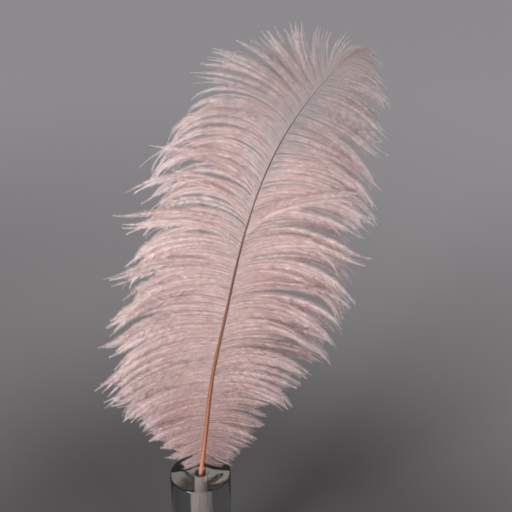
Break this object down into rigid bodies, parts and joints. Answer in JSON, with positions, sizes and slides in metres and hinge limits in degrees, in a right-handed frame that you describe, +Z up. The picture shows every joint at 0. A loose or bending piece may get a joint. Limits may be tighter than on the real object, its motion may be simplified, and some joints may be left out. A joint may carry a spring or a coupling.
{
  "type": "ostrich feather in a glass bud vase",
  "caption": "Dyed ostrich plume with drooping downy vanes, its bare quill standing in the narrow bore of a heavy clear glass bud vase.",
  "frame": {"origin": "centre of the vase's flat base, on the surface it stands on", "axes": "+Z up along the vase, +X towards the side the plume leans and bends to, -Y out of the plume's front, which shows the shaft"},
  "size_m": [0.3144, 0.076, 0.71],
  "materials": {
    "clear_glass": "polished clear glass, ground and matte inside the bore",
    "dyed_shaft": "dyed keratin, satin, salmon-orange at the quill and dark red-brown towards the tip",
    "pink_down": "soft matte down, dusty pink, paler at the tips"
  },
  "bodies": {
    "root": {"vase": "clear_glass", "quill": "dyed_shaft", "vane_left": "pink_down", "vane_right": "pink_down"}
  },
  "joints": []
}
